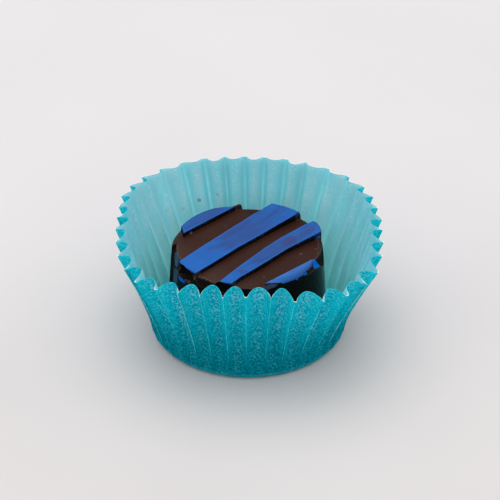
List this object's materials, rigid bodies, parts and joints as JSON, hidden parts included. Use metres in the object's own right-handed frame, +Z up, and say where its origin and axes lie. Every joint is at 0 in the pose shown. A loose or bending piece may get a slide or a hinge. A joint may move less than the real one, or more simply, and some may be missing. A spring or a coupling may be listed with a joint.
{
  "type": "moulded chocolate in a paper case",
  "caption": "Round moulded praline with raised diagonal stripes, standing in a pleated paper sweet case that flares towards its fluted rim.",
  "frame": {"origin": "centre of the paper case's flat base, on its underside", "axes": "+Z up through the open mouth of the case, +Y away from the viewer of the shown side, +X to that viewer's right; the stripes run 46 degrees from +X"},
  "size_m": [0.0463, 0.0468, 0.0215],
  "materials": {
    "paper": "thin teal sweet-case paper, dull, paler inside",
    "chocolate": "dark moulded chocolate with a satin sheen, raised stripes coated blue"
  },
  "bodies": {
    "root": {"paper_case": "paper", "chocolate": "chocolate"}
  },
  "joints": []
}
